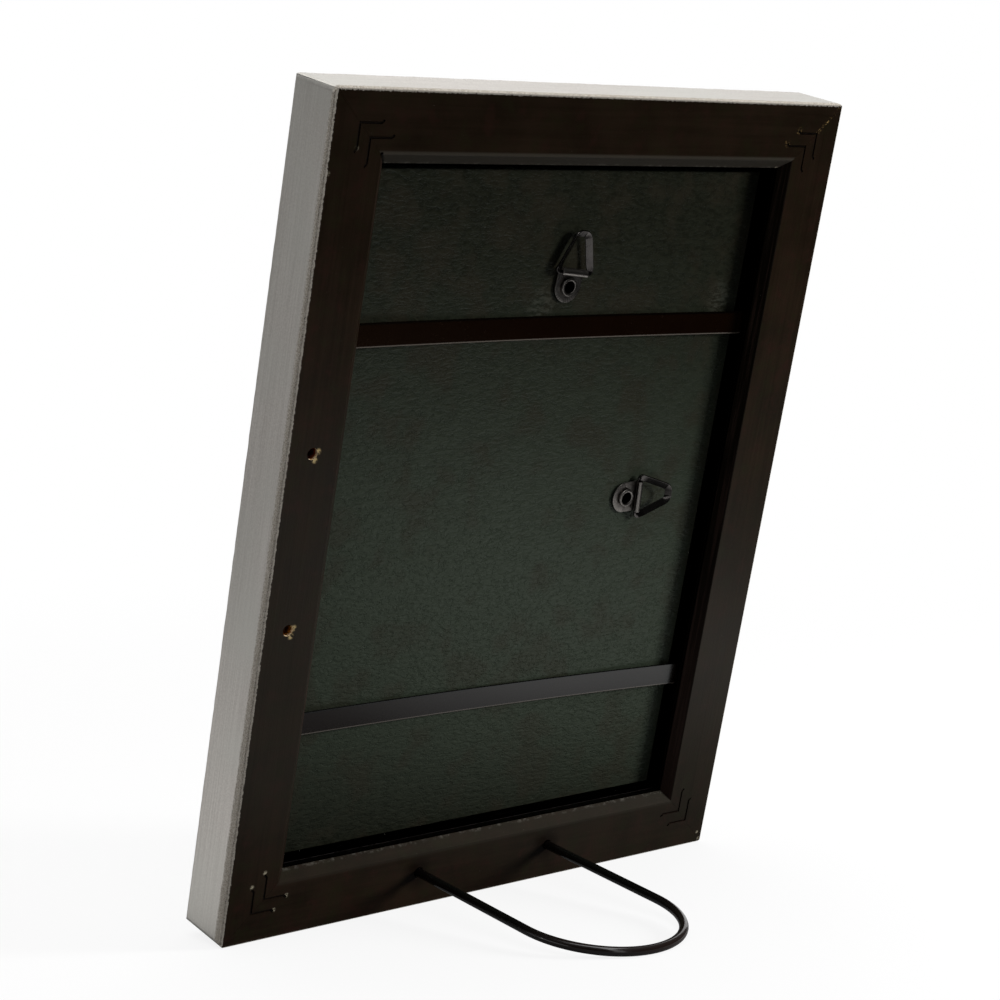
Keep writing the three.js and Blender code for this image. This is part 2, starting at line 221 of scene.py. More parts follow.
def rays(tree):
    """1 for a ray from the camera or through glass, and 1 for a mirrored ray."""
    ray = tree.node("LightPath")
    return ray.most(ray.other("Is Transmission Ray")), ray.other("Is Glossy Ray")


studio = Tree(world)
seen, mirrored = rays(studio)
strength = seen.most(mirrored) * (1 - world_light) + world_light
studio.feed(studio.nodes["Background"].inputs["Color"], grey(1))
studio.feed(studio.nodes["Background"].inputs["Strength"], strength)
print("world light", world_light)

# %% Floor that fades into the white
floor_half = 6
matt_reach = 0.22
white_reach = 0.6
floor_white = 0.85
floor_grey = 0.16
gleam = 0.9
beside_gleam = 0.85
pool_gleam = 0.7
ring_pool = (0.04, 0.22, 0)
ring_shade = (-0.09, 0.01, 0)
bpy.ops.object.select_all(action="DESELECT")
bpy.ops.mesh.primitive_plane_add(size=2 * floor_half, location=(0, 0, 0))
floor = bpy.context.object
floor.name = "floor"
sweep = bpy.data.materials.new("white sweep")
floor.data.materials.append(sweep)
table = Tree(sweep)
spot = table.node("TexCoord", output=3)
far = table.distance(spot, (0, 0, 0))
sideways = table.node("SeparateXYZ", None, {0: spot})
behind = sideways.other(1)
whiter = table.fade(far, matt_reach, white_reach) * (1 - floor_white) + floor_white
brighter = table.fade(behind, 0.0, 0.06) * table.fade(sideways, 0.0, -0.1)
beside = table.fade(sideways, 0.083, 0.1) * table.fade(behind, 0.08, 0.02) * beside_gleam
pool = table.fade(table.distance(spot, ring_pool), 0.07, 0.04) * pool_gleam
brighter = brighter.most(beside).most(pool).most(table.fade(far, 0.2, 0.33)) * gleam
seen, mirrored = rays(table)
dimmed = table.fade(table.distance(spot, ring_shade), 0.06, 0.03) * mirrored
shade = table.blend(dimmed, grey(floor_grey), grey(0))
pale = table.blend(seen, shade, grey(floor_white))
matt = table.node("BsdfDiffuse", None, {"Color": pale})
white = table.node("Emission", None, {"Color": grey(1), "Strength": 1.0})
both = table.node("MixShader", None, {0: seen * whiter + mirrored * brighter, 1: matt, 2: white})
table.feed(table.nodes["Material Output"].inputs["Surface"], both)
print("floor", 2 * floor_half, "m wide")

# %% Four soft lamps
lamps = {
    "lamp_above": {"place": (0.15, 0.12, 1.1), "size": (1.3, 1.3), "power": 10.6, "mirrored": True},
    "lamp_right": {"place": (-0.75, 0.6, 0.3), "size": (0.2, 0.3), "power": 13.0, "mirrored": False},
    "lamp_left": {"place": (0.8, -0.4, 0.1), "size": (0.4, 0.2), "power": 1.0, "mirrored": True},
    "lamp_front": {"place": (-0.75, -1.0, 0.75), "size": (1.6, 1.6), "power": 10.0, "mirrored": False},
}
lamp_aim = Vector((0, 0, 0.1))
for name, lamp in lamps.items():
    bpy.ops.object.light_add(type="AREA", location=lamp["place"])
    light = bpy.context.object
    light.name = name
    light.data.shape = "RECTANGLE"
    light.data.size, light.data.size_y = lamp["size"]
    light.data.energy = lamp["power"]
    light.visible_glossy = lamp["mirrored"]
    light.rotation_euler = (lamp_aim - Vector(lamp["place"])).to_track_quat("-Z", "Y").to_euler()
print("lamps", list(lamps))

# %% [markdown]
# Dark cards
#
# Metal and satin paint look like what stands round them. A photographer puts black cards beside them,
# so that they don't turn milky. Four cards stand here, beside the silvered side and behind the back.
# Only reflections see them: they throw no shadow and don't come into the picture.

# %% Four cards for the reflections
cards = {
    "card_left": {"place": (0.27, -0.25, 0.3), "size": (0.4, 0.6), "shade": 0.03},
    "card_beside": {"place": (0.26, 0.03, 0.34), "size": (0.3, 0.6), "shade": 0.0},
    "card_right": {"place": (-0.146, 0.137, 0.3), "size": (0.6, 0.6), "shade": 0.0},
    "card_behind": {"place": (0.13, 0.13, 0.3), "size": (0.16, 0.6), "shade": 0.0},
}
for name, card in cards.items():
    bpy.ops.object.select_all(action="DESELECT")
    bpy.ops.mesh.primitive_plane_add(size=1, location=card["place"])
    panel = bpy.context.object
    panel.name = name
    panel.scale = (*card["size"], 1)
    level = Vector((*card["place"][:2], 0))
    panel.rotation_euler = level.to_track_quat("Z", "Y").to_euler()
    black = bpy.data.materials.new(name)
    black.use_nodes = True
    black.node_tree.nodes["Principled BSDF"].inputs["Base Color"].default_value = grey(card["shade"])
    panel.data.materials.append(black)
    panel.visible_camera = False
    panel.visible_diffuse = False
    panel.visible_transmission = False
    panel.visible_shadow = False
print("cards", list(cards))

# %% [markdown]
# Helpers for every finish
#
# Each finish reads one place: the point's spot on the upright frame, in millimetres. A Mapping node
# turns it upright. A fade turns a distance into a mask, and a grain is noise of a given size. A
# finish is built up as a painter would: a ground colour first, and coat over coat on top of it.

# %% Finish: a tree with a Principled surface
class Finish(Tree):
    """A material of the frame."""

    def __init__(self, name, fixed):
        self.material = bpy.data.materials.new(name)
        super().__init__(self.material)
        self.surface = self.nodes["Principled BSDF"].inputs
        for socket, value in fixed.items():
            self.surface[socket].default_value = value
        upright = {"Vector": self.node("TexCoord", output=3), "Location": corner,
                   "Rotation": (-lean_angle, 0, 0), "Scale": (mm, mm, mm)}
        self.place = self.node("Mapping", {"vector_type": "TEXTURE"}, upright)

    def show(self, socket, value):
        """Feeds a value or a colour to a socket of the surface."""
        self.feed(self.surface[socket], value)

    def coat(self, share, tint):
        """Lays a tint over the colour so far, as thickly as share says."""
        self.colour = self.blend(share, self.colour, tint)

    def axes(self):
        parts = self.node("SeparateXYZ", None, {0: self.place})
        return parts, parts.other(1), parts.other(2)

    def grain(self, size, detail=2.0, rough=0.5, warp=0.0):
        """Noise from 0 to 1, in grains of about this size, or of three sizes along the axes."""
        sizes = size if isinstance(size, tuple) else (size, size, size)
        spot = self.node("VectorMath", {"operation": "DIVIDE"}, {0: self.place, 1: sizes})
        sockets = {"Vector": spot, "Scale": 1.0, "Detail": detail, "Roughness": rough, "Distortion": warp}
        return self.node("TexNoise", None, sockets)

    def spots(self, points, reach):
        """1 within a third of the reach from any of the points, fading to 0 at the reach."""
        found = 0.0
        for point in points:
            found = self.fade(self.distance(self.place, point), reach, reach / 3) + found
        return found

    def relief(self, height, depth):
        """Feeds a height from 0 to 1 to the normal, as dents of this depth in millimetres."""
        bump = self.node("Bump", None, {"Strength": 1.0, "Distance": depth * mm, "Height": height})
        self.show("Normal", bump)


def tone(red, green, blue):
    """A colour picked from a screen, 0 to 255, as the shader wants it."""
    light = Color((red / 255, green / 255, blue / 255)).from_srgb_to_scene_linear()
    return (light.r, light.g, light.b, 1)


print("finish helpers ready")

# %% [markdown]
# Silver foil
#
# The outside of the moulding carries a champagne grey metal foil over a pale ground. It has a fine
# lengthwise grain, and along the back arris it is rubbed through to the ground in a speckled band.
# A metal shader alone would look like a mirror, so it is only partly metal and quite rough.

# %% Sizes of the moulding, needed by its finishes
low, high = measure("stile_right")
frame_half = high.x / mm
frame_depth = -low.y / mm
frame_height = measure("rail_top")[1].z / mm
middle_height = frame_height / 2
worn_width = 3.0
worn_fade = 0.8
worn_wander = 1.4
worn_growth = 1.4
print("frame", 2 * frame_half, "x", round(frame_height, 2), "x", round(frame_depth, 2), "mm")


# %% The foil, rubbed through along its back edge
def silver_foil(name, grain):
    foil = Finish(name, {"Specular IOR Level": 0.3})
    _, out, up = foil.axes()
    streak = foil.grain(grain, 5, 0.65)
    cloud = foil.grain(30, 2)
    speck = foil.grain(0.45, 2)
    ragged = foil.grain(1.6, 4, 0.7)
    brushed = foil.fade(streak * 0.6 + speck * 0.4, 0.3, 0.7)
    depth = (ragged - 0.5) * worn_wander + up * (worn_growth / frame_height) - out
    worn = foil.fade(depth, worn_width, worn_width - worn_fade)
    dots = foil.fade(speck, 0.56, 0.64) * foil.fade(depth, 2.6, 1.4)
    ground = foil.blend(foil.fade(speck, 0.42, 0.62), tone(158, 150, 138), tone(206, 200, 190))
    foil.colour = foil.blend(brushed, tone(180, 174, 168), tone(210, 206, 200))
    foil.coat(foil.fade(cloud, 0.35, 0.7) * 0.5, tone(194, 194, 187))
    foil.coat(worn, ground)
    foil.coat(dots * 0.8, tone(78, 66, 54))
    foil.show("Base Color", foil.colour)
    foil.show("Metallic", (1 - worn) * 0.65)
    foil.show("Roughness", streak * 0.2 + worn * 0.25 + 0.38)
    foil.relief(streak * 0.5 + speck * worn, 0.12)
    return foil.material


upright_grain = (0.5, 0.5, 40)
level_grain = (40, 0.5, 0.5)
foils = {"stile": silver_foil("silver foil, upright", upright_grain),
         "rail": silver_foil("silver foil, level", level_grain)}
print("foils", [foil.name for foil in foils.values()])

# %% [markdown]
# Dark paint
#
# The back of the moulding is brushed with a thin brown-black paint. It is nearly matt, the wood's
# grain shows through as faint streaks, and it is chipped where the nails were driven in and where
# the holes were drilled. Light and shade are painted on as well: a paler painted sheen low on the back,
# painted shade towards the top and in the rebate, painted shadows beside the wire, painted light on
# the rails' chamfers and along their groove, and painted shade on the uprights' chamfers.

# %% Places of the holes and of the nails' ends, on the upright frame
wire_diameter = 2.5
wire_spacing = 45.5
wire_tilt = radians(6)
wire_hole_inset = 10
spare_hole_inset = 7.7
spare_hole_height = middle_height - 1.4
spare_holes = [(frame_half - spare_hole_inset, 0, spare_hole_height + side * wire_spacing / 2)
               for side in (-1, 1)]
stand_holes = [(side * wire_spacing / 2, 0, wire_hole_inset) for side in (-1, 1)]
nail_insets = {"outer": 8.3, "inner": 11.8}
nail_arm = 6.2
nail_hook = 1.1
nail_turn = radians(40)
hook_along = nail_arm + nail_hook * cos(nail_turn)
hook_out = nail_hook * sin(nail_turn)


def nail_ends(side, top):
    """The four hook ends at one corner: side is -1 or 1, top is 0 or 1."""
    places = []
    for inset in nail_insets.values():
        longer = inset + hook_along
        shorter = inset - hook_out
        for along, over in ((longer, shorter), (shorter, longer)):
            height = frame_height - over if top else over
            places.append((side * (frame_half - along), 0, height))
    return places


groove_top = 4.7
corner_chips = [(1.2 - frame_half, 0, 1.2), (2.2 - frame_half, 0, 3.4), (-66, -2.4, frame_height - 18)]
scratches = [(76.7, 0, 205.7), (83.9, 0, 199.6)]
notches = [(69.2, 0, 204.4), (68.6, -0.6, 203.7), (68, -1.2, 203.1), (67.4, -1.8, 202.5),
           (66.8, -2.4, 201.8)]
torn_shifts = [(-1.6, 0.5), (-1.0, -1.6)]
wire_shadow_shift = 0.8
chip_rise = 0.6
torn_edges = [(x + right, 0, up + rise) for x, _, up in spare_holes for right, rise in torn_shifts]
# Places of the painted shadows of the wire's legs, beside the stand's holes.
painted_wire_shadows = [(x + wire_shadow_shift, out, up) for x, out, up in stand_holes]
nail_chips = [(x, out, up + chip_rise) for x, out, up in nail_ends(1, 0)]
print("spare holes", [[round(x, 2) for x in hole] for hole in spare_holes])


# %% The paint, with its streaks and chips, and its painted light and shade
def dark_paint(name, grain, level):
    """Level is 1 for the rails and 0 for the uprights."""
    paint = Finish(name, {"Specular IOR Level": 0.1})
    across, out, up = paint.axes()
    streak = paint.grain(grain, 5, 0.6)
    cloud = paint.grain(16, 4)
    mottle = paint.grain(6, 4, 0.65)
    speck = paint.grain(0.5, 2)
    ragged = paint.grain(0.8, 3, 0.7)
    brushed = paint.fade(streak * 0.4 + cloud * 0.6, 0.3, 0.7)
    paint.colour = paint.blend(brushed, tone(20, 14, 8), tone(34, 25, 17))
    paint.coat(paint.fade(mottle, 0.5, 0.68) * 0.5, tone(26, 26, 13))
    paint.coat(paint.fade(mottle, 0.48, 0.32) * 0.5, tone(38, 21, 17))
    # Painted sheen: the back is painted greyer below the top, fading out again towards the foot.
    painted_sheen = paint.fade(up + cloud * 60, 215, 80) * paint.fade(up - across * 0.2, -5, 35)
    paint.coat(painted_sheen * 0.4, tone(44, 43, 39))
    # Painted shade: the top of the back is painted darker.
    paint.coat(paint.fade(up, 150, 215) * 0.45, tone(14, 9, 5))
    if level:
        black = 0.0
        # Painted light: the rails' chamfers are painted paler, more so towards the top rail.
        arris = paint.fade(abs(up - middle_height), middle_height - 14.6, middle_height - 15.3)
        paint.coat(arris * (paint.fade(up, 20, 190) * 0.25 + 0.15), tone(62, 60, 54))
        flecks = paint.fade(paint.grain(1.5, 4, 0.7), 0.5, 0.64)
        paint.coat(paint.fade(abs(out + 2.4), 0.7, 0.1) * flecks * 0.14, tone(150, 146, 138))
    else:
        # Painted shade: the uprights' chamfers are painted darker. On the upright at negative x the
        # chamfer is painted dark red-brown low down and nearly black higher up, where its sheen is also
        # taken away.
        chamfer = paint.fade(out, -0.02, -0.3)
        higher = paint.fade(up, 20, 110)
        shaded = chamfer * paint.fade(across, 0, -10) * 0.85
        black = shaded * higher
        paint.coat(chamfer * 0.4, tone(16, 10, 7))
        paint.coat(shaded, paint.blend(higher, tone(36, 23, 17), tone(9, 6, 2)))
        paint.coat(chamfer * paint.fade(streak, 0.5, 0.62) * 0.35, tone(58, 44, 40))
    # Painted shade: the rebate walls below the chamfer are painted nearly black.
    recess_shade = paint.fade(out, -2.4, -3.4)
    paint.coat(recess_shade * 0.85, tone(3, 2, 2))
    # Painted highlight: a ragged pale line along the lip of the rails' groove, where the sheen is also
    # left on.
    groove = paint.fade(abs(out + groove_top), 0.45, 0.15) * paint.fade(ragged, 0.3, 0.6) * level
    paint.coat(groove * 0.5, tone(78, 74, 74))
    chips = paint.spots(nail_chips, 0.8) + paint.spots(corner_chips, 0.65)
    chips = (chips + paint.spots(scratches, 0.8) * 0.3) * paint.fade(ragged, 0.44, 0.52)
    paint.coat(chips * 0.6, tone(172, 164, 142))
    torn = paint.spots(torn_edges, 1.1) * paint.fade(ragged, 0.42, 0.5)
    paint.coat(torn * 0.6, tone(190, 168, 122))
    seam = abs(across + up + (frame_half - frame_height))
    mitre = paint.fade(seam, 1.0, 0.2) * paint.fade(across, 12 - frame_half, 7 - frame_half)
    gold = (paint.spots(nail_ends(-1, 1)[::2], 1.3) + mitre) * paint.fade(ragged, 0.52, 0.6)
    gold = gold * paint.fade(mottle, 0.4, 0.56)
    paint.coat(gold * 0.5, tone(150, 122, 76))
    notch = paint.spots(notches, 0.65) * paint.fade(ragged, 0.68, 0.54)
    paint.coat(notch, tone(2, 1, 1))
    rim = middle_height - abs(up - middle_height) if level else frame_half - abs(across)
    rim = paint.fade(rim + (ragged - 0.5) * 1.4, 0.85, 0.7) * paint.fade(up if level else across, 0, 10)
    paint.coat(rim * 0.45, tone(186, 180, 170))
    # Painted shadows of the wire's legs: dark soft patches beside the stand's holes.
    paint.coat(paint.spots(painted_wire_shadows, 6) * 0.6, tone(9, 5, 4))
    paint.coat(paint.fade(speck, 0.74, 0.8) * 0.35, tone(130, 124, 116))
    paint.show("Base Color", paint.colour)
    # Metallic takes the sheen away from the painted shade of the rebate, from the notch and from the
    # shaded chamfer.
    paint.show("Metallic", (recess_shade * (1 - groove)).most(notch).most(black))
    paint.show("Roughness", streak * 0.16 + cloud * 0.1 + 0.22)
    paint.relief(streak * 0.6 + ragged * 0.3 - (chips + gold + torn) * 0.6, 0.1)
    return paint.material


paints = {"stile": dark_paint("dark paint, upright", (1.2, 1.2, 45), 0),
          "rail": dark_paint("dark paint, level", (45, 1.2, 1.2), 1)}
print("paints", [paint.name for paint in paints.values()])


# %% Bare wood inside the spare holes
def bare_wood(name):
    wood = Finish(name, {"Specular IOR Level": 0.2, "Roughness": 0.75})
    _, out, up = wood.axes()
    fibre = wood.grain((0.3, 0.3, 4), 4)
    torn = out + (wood.grain(0.7, 3, 0.7) - 0.5) * 1.6
    upper = wood.fade(up, middle_height - 10, middle_height + 10)
    inner = wood.blend(upper, tone(160, 104, 30), tone(118, 54, 26))
    deep = wood.blend(upper, tone(96, 58, 14), tone(52, 12, 5))
    wood.colour = wood.blend(wood.fade(fibre, 0.3, 0.7), tone(190, 152, 92), tone(244, 236, 216))
    # Painted shade: deeper in the hole the wood is painted darker, in two steps.
    wood.coat(wood.fade(torn, -0.6, -1.1), inner)
    wood.coat(wood.fade(torn, -1.2, -2.2), deep)
    wood.show("Base Color", wood.colour)
    wood.relief(fibre, 0.15)
    return wood.material


wood_finish = bare_wood("bare wood")
print("bare wood ready")

# %% [markdown]
# Ways of working
#
# These helpers do what hands do in edit mode: start a piece from a primitive, trace an outline by
# extruding one vertex from point to point, pick faces or edges by where they are, and settle the
# finished piece in its place on the frame.

# %% Edit-mode helpers
weld_distance = 0.001 * mm


def leave_edit_mode():
    if bpy.context.mode != "OBJECT":
        bpy.ops.object.mode_set(mode="OBJECT")


def begin(name, add, **settings):
    """Starts a piece from a primitive and goes into edit mode with all of it selected."""
    leave_edit_mode()
    bpy.ops.object.select_all(action="DESELECT")
    add(**settings)
    piece = bpy.context.object
    piece.name = name
    bpy.ops.object.mode_set(mode="EDIT")
    bpy.ops.mesh.select_mode(type="VERT")
    bpy.ops.mesh.select_all(action="SELECT")
    return piece


def begin_flat(name):
    """Starts a piece that is going to be traced, from a small plane."""
    return begin(name, bpy.ops.mesh.primitive_plane_add, size=mm)


def pick(kind, test):
    """Selects the vertices, edges or faces whose points pass the test, and counts them."""
    bpy.ops.mesh.select_mode(type=kind)
    bpy.ops.mesh.select_all(action="DESELECT")
    mesh = bmesh.from_edit_mesh(bpy.context.object.data)
    parts = {"VERT": mesh.verts, "EDGE": mesh.edges, "FACE": mesh.faces}[kind]
    found = 0
    for part in parts:
        points = [part.co] if kind == "VERT" else [vertex.co for vertex in part.verts]
        if test(points):
            part.select_set(True)
            found += 1
    mesh.select_flush_mode()
    bmesh.update_edit_mesh(bpy.context.object.data)
    return found


def close_to(place):
    """A test for points that lie at one place."""
    return lambda points: all((point - place).length < weld_distance for point in points)


def trace(points, closed=True):
    """Extrudes the selected primitive, drawn together to one vertex, from point to point."""
    points = [Vector(point) for point in points]
    bpy.ops.mesh.merge(type="CENTER")
    bpy.ops.transform.translate(value=points[0])
    for before, after in zip(points, points[1:]):
        bpy.ops.mesh.extrude_vertices_move(TRANSFORM_OT_translate={"value": after - before})
    if closed:
        first, last = close_to(points[0]), close_to(points[-1])
        pick("VERT", lambda spot: first(spot) or last(spot))
        bpy.ops.mesh.edge_face_add()
    bpy.ops.mesh.select_linked()


def face_outwards(weld=False):
    """Turns every face outwards, and first joins the points that coincide if asked to."""
    bpy.ops.mesh.select_all(action="SELECT")
    if weld:
        bpy.ops.mesh.remove_doubles(threshold=weld_distance)
    bpy.ops.mesh.normals_make_consistent(inside=False)


def rounded(corners, steps):
    """An outline through flat corners (x, y, radius), each rounded by an arc."""
    points = []
    for i, (x, y, radius) in enumerate(corners):
        here = Vector((x, y))
        before = (Vector(corners[i - 1][:2]) - here).normalized()
        after = (Vector(corners[(i + 1) % len(corners)][:2]) - here).normalized()
        half = before.angle(after) / 2
        if radius == 0:
            points.append(here)
            continue
        centre = here + (before + after).normalized() * radius / sin(half)
        start = here + before * radius / tan(half) - centre
        turn = -start.angle_signed(here + after * radius / tan(half) - centre)
        for k in range(steps + 1):
            points.append(centre + Matrix.Rotation(turn * k / steps, 2) @ start)
    return points


def modify(piece, kind, **settings):
    """Adds a modifier and applies it."""
    leave_edit_mode()
    modifier = piece.modifiers.new(kind.title(), kind)
    for name, setting in settings.items():
        setattr(modifier, name, setting)
    bpy.context.view_layer.objects.active = piece
    bpy.ops.object.modifier_apply(modifier=modifier.name)


def settle(piece, matrix, body, node, smooth=30):
    """Puts a finished piece in its place, in its mesh, and ties it to the frame."""
    leave_edit_mode()
    bpy.ops.object.select_all(action="DESELECT")
    piece.select_set(True)
    bpy.context.view_layer.objects.active = piece
    piece.matrix_world = matrix
    bpy.ops.object.transform_apply(location=True, rotation=True, scale=True)
    bpy.ops.object.shade_smooth_by_angle(angle=radians(smooth))
    modify(piece, "WEIGHTED_NORMAL", keep_sharp=True, weight=80)
    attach(piece, body)
    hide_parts(node)
    print(piece.name, "has", len(piece.data.polygons), "faces and rides on", body)


print("helpers ready")

# %% [markdown]
# Cutters for the slots and holes
#
# On the bench the frame is glued, the nails are driven across the mitres, and the holes are drilled.
# Each cut is a small solid that a Boolean takes away from the mouldings. The drill tore the paint at
# the mouth of the two spare holes, so their cutters flare out raggedly at the top.

# %% Slots for the nails
cutters = bpy.data.collections.new("cutters")
bpy.context.scene.collection.children.link(cutters)
nail_slot = 0.6 * mm
slot_depth = 7.4 * mm
over = 1 * mm


def keep_as_cutter(piece, finish):
    """Moves a finished cutter to its own hidden collection."""
    bpy.ops.object.mode_set(mode="OBJECT")
    piece.data.materials.append(finish)
    for collection in piece.users_collection:
        collection.objects.unlink(piece)
    cutters.objects.link(piece)
    piece.hide_render = True


def nail_line(side, top, inset):
    """The middle line of one nail at the back face."""
    line = [(inset - hook_out, inset + hook_along), (inset, inset + nail_arm), (inset, inset),
            (inset + nail_arm, inset), (inset + hook_along, inset - hook_out)]
    return [(side * (frame_half - along) * mm, over, (frame_height - rise if top else rise) * mm)
            for along, rise in line]


for side in (-1, 1):
    for top in (0, 1):
        for inset in nail_insets.values():
            slot = begin_flat("nail_slot")
            trace(nail_line(side, top, inset), closed=False)
            bpy.ops.mesh.extrude_region_move(TRANSFORM_OT_translate={"value": (0, -slot_depth - over, 0)})
            modify(slot, "SOLIDIFY", thickness=nail_slot, offset=0, use_even_offset=True)
            bpy.ops.object.mode_set(mode="EDIT")
            face_outwards()
            keep_as_cutter(slot, paints["stile"])

# %% Holes for the wire
hole_play = 0.25
hole_radius = (wire_diameter / 2 + hole_play) * mm
hole_depth = 10.8 * mm
hole_sides = 28
torn_depth = 1.1 * mm
torn_width = 1.6
torn_raggedness = 0.45 * mm


def drill(place, torn):
    """A drill that enters the back at a place, tilted as the wire is."""
    hole = begin("drill", bpy.ops.mesh.primitive_cylinder_add, vertices=hole_sides, radius=hole_radius,
                 depth=hole_depth, location=(0, 0, -hole_depth / 2))
    pick("FACE", lambda points: all(point.z > -mm / 2 for point in points))
    bpy.ops.transform.translate(value=(0, 0, -torn_depth))
    bpy.ops.mesh.extrude_region_move(TRANSFORM_OT_translate={"value": (0, 0, torn_depth)})
    if torn:
        bpy.ops.transform.resize(value=(torn_width, torn_width, 1))
        bpy.ops.transform.translate(value=(-torn_width / 4 * mm, -torn_width / 4 * mm, 0))
        bpy.ops.transform.vertex_random(offset=torn_raggedness, uniform=1, seed=round(place[2]))
    bpy.ops.mesh.extrude_region_move(TRANSFORM_OT_translate={"value": (0, 0, 2 * over)})
    bpy.ops.object.mode_set(mode="OBJECT")
    turn = Matrix.Rotation(-wire_tilt, 4, "Z") if torn else Matrix.Rotation(wire_tilt, 4, "X")
    hole.matrix_world = Matrix.Translation(Vector(place) * mm) @ turn @ Matrix.Rotation(-pi / 2, 4, "X")
    bpy.ops.object.transform_apply(location=True, rotation=True, scale=True)
    keep_as_cutter(hole, wood_finish if torn else paints["rail"])


for place in stand_holes:
    drill(place, torn=False)
for place in spare_holes:
    drill(place, torn=True)

# %% [markdown]
# Moulding
#
# A moulding is planed as one long bar and then sawn to length. Here its section is traced point by
# point, filled, pulled out to a bar, and cut off by two planes at 45 degrees. The bar is divided along
# its length so that its front arris can be worn a little uneven, as the silvered edge really is.

# %% The moulding's section
wall_width = 18.5
chamfer_width = 2.8
chamfer_depth = 2.7
quirk_width = 0.5
quirk_end = 3.2
groove_width = 3
groove_margin = 0.3
board_top = -measure("backing_board")[1].y / mm
groove_end = board_top - groove_margin
lip_depth = 4
lip_top = frame_depth - lip_depth
lip_reach = 5.5
sight_bevel = 2.4
sight = wall_width + lip_reach
section_corners = [
    (0, 0, 0.6),
    (wall_width - chamfer_width, 0, 0.3),
    (wall_width, chamfer_depth, 0.15),
    (wall_width - quirk_width, chamfer_depth, 0),
    (wall_width - quirk_width, quirk_end, 0),
    (wall_width, quirk_end, 0.15),
    (wall_width, groove_top, 0.15),
    (wall_width - groove_width, groove_top, 0),
    (wall_width - groove_width, groove_end, 0),
    (wall_width, groove_end, 0),
    (wall_width, lip_top, 0),
    (sight, lip_top, 0.3),
    (sight, frame_depth - sight_bevel, 0.5),
    (sight - sight_bevel, frame_depth, 0.5),
    (0, frame_depth, 1.6),
]
section = rounded(section_corners, 5)
print("section", len(section), "points, groove to", round(groove_end, 2), "mm deep")

# %% The four sides, sawn, worn and cut
mitre_gap = 0.06
corner_round = 1.8
corner_angles = [radians(15), radians(30), radians(45)]
foil_edge = 0.55
cut_spacing = 2.5
arris_reach = 2.5
arris_wear = 0.2 * mm
dents = bpy.data.textures.new("dents", "CLOUDS")
dents.noise_scale = 3 * mm
dents.noise_depth = 2


def make_side(node, length, reach, turn):
    """One side, made as the lowest one about the middle of the frame and then turned into place."""
    side = begin_flat(node + "_moulding")
    half = length / 2
    trace([(-half * mm, -depth * mm, (width - reach) * mm) for width, depth in section])
    bpy.ops.mesh.edge_face_add()
    bpy.ops.mesh.extrude_region_move(TRANSFORM_OT_translate={"value": (length * mm, 0, 0)})
    pick("EDGE", lambda points: abs(points[0].x - points[1].x) > half * mm)
    bpy.ops.mesh.subdivide(number_cuts=round(length / cut_spacing))
    for end in (-1, 1):
        bpy.ops.mesh.select_all(action="SELECT")
        saw = (end * (half - mitre_gap / 2) * mm, 0, -reach * mm)
        bpy.ops.mesh.bisect(plane_co=saw, plane_no=(end, 0, 1), clear_outer=True, use_fill=True)
        for angle in corner_angles:
            facing = Vector((end * sin(angle), 0, -cos(angle)))
            middle = Vector((end * (half - corner_round), 0, corner_round - reach))
            bpy.ops.mesh.select_all(action="SELECT")
            bpy.ops.mesh.bisect(plane_co=(middle + facing * corner_round) * mm, plane_no=facing,
                                clear_outer=True, use_fill=True)
    face_outwards()
    kind = node.split("_")[0]
    side.data.materials.append(paints[kind])
    side.data.materials.append(foils[kind])
    pick("FACE", lambda points: all(point.y < -lip_top * mm - mm / 10 for point in points)
         or all(point.z < (foil_edge - reach) * mm for point in points))
    side.active_material_index = 1
    bpy.ops.object.material_slot_assign()
    bpy.ops.object.mode_set(mode="OBJECT")
    arris = side.vertex_groups.new(name="front arris")
    worn = [vertex.index for vertex in side.data.vertices
            if vertex.co.y < (arris_reach - frame_depth) * mm
            and vertex.co.z < (arris_reach - reach) * mm]
    arris.add(worn, 1.0, "REPLACE")
    modify(side, "DISPLACE", texture=dents, texture_coords="LOCAL", strength=arris_wear, mid_level=1.0,
           vertex_group=arris.name)
    upright = Matrix.Translation((0, 0, middle_height * mm)) @ Matrix.Rotation(turn, 4, "Y")
    side.matrix_world = upright
    bpy.ops.object.transform_apply(location=True, rotation=True, scale=True)
    modify(side, "BOOLEAN", operation="DIFFERENCE", operand_type="COLLECTION", collection=cutters,
           solver="EXACT", material_mode="TRANSFER")
    settle(side, lean, "frame", node)
    return side


width = 2 * frame_half
sides = [make_side("rail_bottom", width, middle_height, 0),
         make_side("stile_left", frame_height, frame_half, pi / 2),
         make_side("rail_top", width, middle_height, pi),
         make_side("stile_right", frame_height, frame_half, -pi / 2)]
for cutter in list(cutters.objects):
    bpy.data.objects.remove(cutter)
bpy.data.collections.remove(cutters)
print("sides", [side.name for side in sides])

# %% [markdown]
# Spring strips
#
# Two strips of painted spring steel are sprung into the grooves, so that their middles press on the
# board. A bowed strip is a short piece of a very large hoop, so a single edge is spun about the middle
# of that hoop. A Solidify gives the sheet its thickness and a Bevel breaks its edges.

# %% Brown and black satin paint on the strips, with a painted highlight along the lower edge and painted shade along the upper one
strip_width = 6.3 * mm
strip_thickness = 0.5 * mm
strip_edge = 0.24 * mm
strip_steps = 48
strip_tilts = {"upper": radians(0.3), "lower": radians(1.3)}


